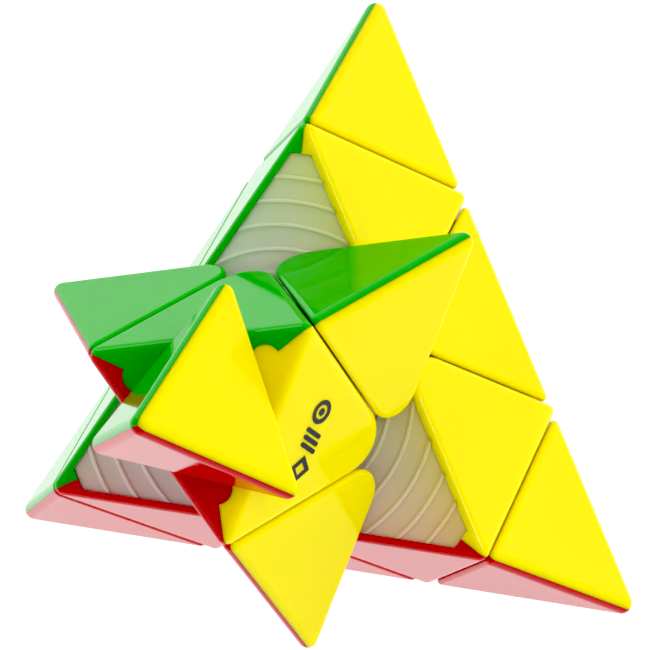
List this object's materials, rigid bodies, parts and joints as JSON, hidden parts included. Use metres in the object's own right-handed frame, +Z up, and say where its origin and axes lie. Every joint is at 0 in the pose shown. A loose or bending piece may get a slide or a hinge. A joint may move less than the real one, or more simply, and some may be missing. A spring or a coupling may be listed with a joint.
{
  "type": "pyramid twisty puzzle",
  "caption": "Tetrahedral twisty puzzle standing on one face, with its upper layer part-turned and a free-turning tip at every corner.",
  "frame": {"origin": "middle of the core, where the four turning axes meet", "axes": "+Z up along the top corner's axis, -Z square to the face it stands on, +Y towards the rear corner"},
  "size_m": [0.098, 0.0926, 0.0807],
  "materials": {
    "yellow_plastic": "polished, coloured through",
    "green_plastic": "polished, coloured through",
    "red_plastic": "polished, coloured through",
    "blue_plastic": "polished, coloured through",
    "milky_plastic": "milky translucent",
    "hub_plastic": "milky translucent",
    "core_plastic": "moulded, slightly waxy",
    "screw_steel": "zinc plated",
    "spring_steel": "bright wire",
    "magnet_nickel": "nickel plated"
  },
  "bodies": {
    "base": {"axial_left_blue_cap": "blue_plastic", "axial_left_body": "milky_plastic", "axial_left_green_cap": "green_plastic", "axial_left_red_cap": "red_plastic", "axial_rear_blue_cap": "blue_plastic", "axial_rear_body": "milky_plastic", "axial_rear_green_cap": "green_plastic", "axial_rear_yellow_cap": "yellow_plastic", "axial_right_blue_cap": "blue_plastic", "axial_right_body": "milky_plastic", "axial_right_red_cap": "red_plastic", "axial_right_yellow_cap": "yellow_plastic", "core": "core_plastic", "edge_left_rear_blue_shell": "blue_plastic", "edge_left_rear_body": "milky_plastic", "edge_left_rear_green_shell": "green_plastic", "edge_rear_right_blue_shell": "blue_plastic", "edge_rear_right_body": "milky_plastic", "edge_rear_right_yellow_shell": "yellow_plastic", "edge_right_left_blue_shell": "blue_plastic", "edge_right_left_body": "milky_plastic", "edge_right_left_red_shell": "red_plastic", "magnets_base": "magnet_nickel", "screws": "screw_steel", "springs": "spring_steel", "washers": "screw_steel"},
    "top_layer": {"axial_top_body": "milky_plastic", "axial_top_green_cap": "green_plastic", "axial_top_red_cap": "red_plastic", "axial_top_yellow_cap": "yellow_plastic", "edge_top_left_body": "milky_plastic", "edge_top_left_green_shell": "green_plastic", "edge_top_left_red_shell": "red_plastic", "edge_top_rear_body": "milky_plastic", "edge_top_rear_green_shell": "green_plastic", "edge_top_rear_yellow_shell": "yellow_plastic", "edge_top_right_body": "milky_plastic", "edge_top_right_red_shell": "red_plastic", "edge_top_right_yellow_shell": "yellow_plastic", "magnets_top_layer": "magnet_nickel"},
    "tip_top": {"tip_top_green_shell": "green_plastic", "tip_top_hub": "hub_plastic", "tip_top_red_shell": "red_plastic", "tip_top_yellow_shell": "yellow_plastic"},
    "tip_rear": {"tip_rear_blue_shell": "blue_plastic", "tip_rear_green_shell": "green_plastic", "tip_rear_hub": "hub_plastic", "tip_rear_yellow_shell": "yellow_plastic"},
    "tip_right": {"tip_right_blue_shell": "blue_plastic", "tip_right_hub": "hub_plastic", "tip_right_red_shell": "red_plastic", "tip_right_yellow_shell": "yellow_plastic"},
    "tip_left": {"tip_left_blue_shell": "blue_plastic", "tip_left_green_shell": "green_plastic", "tip_left_hub": "hub_plastic", "tip_left_red_shell": "red_plastic"}
  },
  "joints": [
    {"name": "top_layer_turn", "type": "hinge", "parent": "base", "child": "top_layer", "pos_m": [0, 0, 0], "axis": [0, 0, 1], "continuous": true},
    {"name": "tip_top_turn", "type": "hinge", "parent": "top_layer", "child": "tip_top", "pos_m": [0, 0, 0], "axis": [0, 0, 1], "continuous": true},
    {"name": "tip_rear_turn", "type": "hinge", "parent": "base", "child": "tip_rear", "pos_m": [0, 0, 0], "axis": [0, 0.9428, -0.3333], "continuous": true},
    {"name": "tip_right_turn", "type": "hinge", "parent": "base", "child": "tip_right", "pos_m": [0, 0, 0], "axis": [0.8165, -0.4714, -0.3333], "continuous": true},
    {"name": "tip_left_turn", "type": "hinge", "parent": "base", "child": "tip_left", "pos_m": [0, 0, 0], "axis": [-0.8165, -0.4714, -0.3333], "continuous": true}
  ]
}
